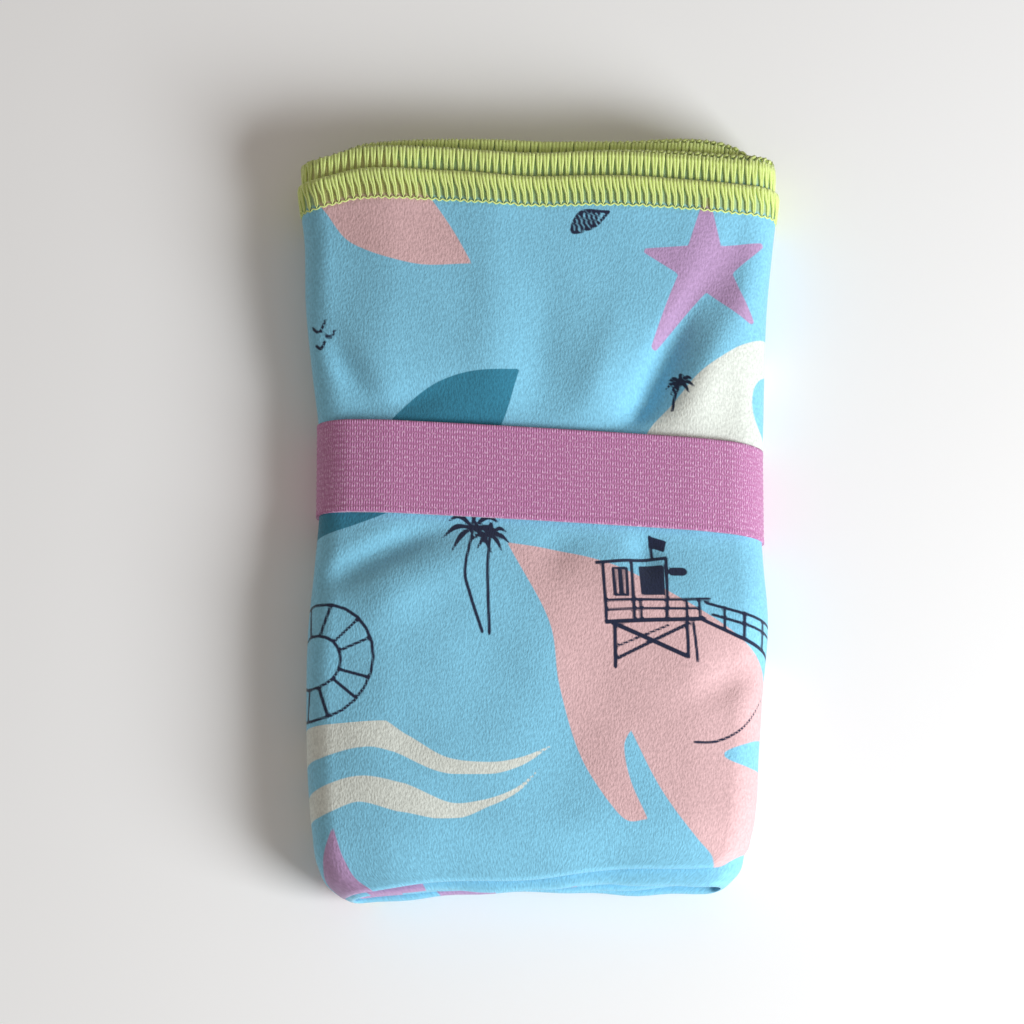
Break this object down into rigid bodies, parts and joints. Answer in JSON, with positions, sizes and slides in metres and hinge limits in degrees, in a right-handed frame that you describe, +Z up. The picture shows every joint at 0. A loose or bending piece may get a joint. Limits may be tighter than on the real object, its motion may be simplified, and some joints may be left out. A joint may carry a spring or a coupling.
{
  "type": "travel towel",
  "caption": "Quick-dry microfibre travel towel, folded and rolled flat into a slim pack with overlocked edges, held shut by a knitted elastic loop that slides off.",
  "frame": {"origin": "centre of the bounding box on the plane the pack lies on", "axes": "+X across the pack, +Y along it towards the open overlocked edges, +Z up through its thickness; the pack lies on its back with the printed front up"},
  "size_m": [0.1214, 0.2, 0.0197],
  "materials": {
    "printed_microfibre": "printed suede microfibre, soft and matt, sky blue ground with beach motifs",
    "overlock_thread": "lime green polyester overlock thread, slight sheen",
    "knitted_elastic": "orchid pink knitted elastic, matt ribbed",
    "rubber_strand": "natural cut rubber thread",
    "stitch_thread": "orchid pink polyester sewing thread"
  },
  "bodies": {
    "towel": {"towel_cloth": "printed_microfibre", "front_long_edge_upper_looper": "overlock_thread", "front_long_edge_lower_looper": "overlock_thread", "front_long_edge_needle_thread": "overlock_thread", "under_long_edge_upper_looper": "overlock_thread", "under_long_edge_lower_looper": "overlock_thread", "under_long_edge_needle_thread": "overlock_thread", "inner_short_edge_upper_looper": "overlock_thread", "inner_short_edge_lower_looper": "overlock_thread", "inner_short_edge_needle_thread": "overlock_thread", "outer_short_edge_upper_looper": "overlock_thread", "outer_short_edge_lower_looper": "overlock_thread", "outer_short_edge_needle_thread": "overlock_thread"},
    "band": {"elastic_cover": "knitted_elastic", "rubber_strand_1": "rubber_strand", "rubber_strand_2": "rubber_strand", "rubber_strand_3": "rubber_strand", "rubber_strand_4": "rubber_strand", "rubber_strand_5": "rubber_strand", "rubber_strand_6": "rubber_strand", "rubber_strand_7": "rubber_strand", "rubber_strand_8": "rubber_strand", "lap_stitch_row_1": "stitch_thread", "lap_stitch_row_2": "stitch_thread"}
  },
  "joints": [
    {"name": "band_slide", "type": "slide", "parent": "towel", "child": "band", "axis": [0, 1, 0], "range_m": [-0.128, 0.11]}
  ]
}
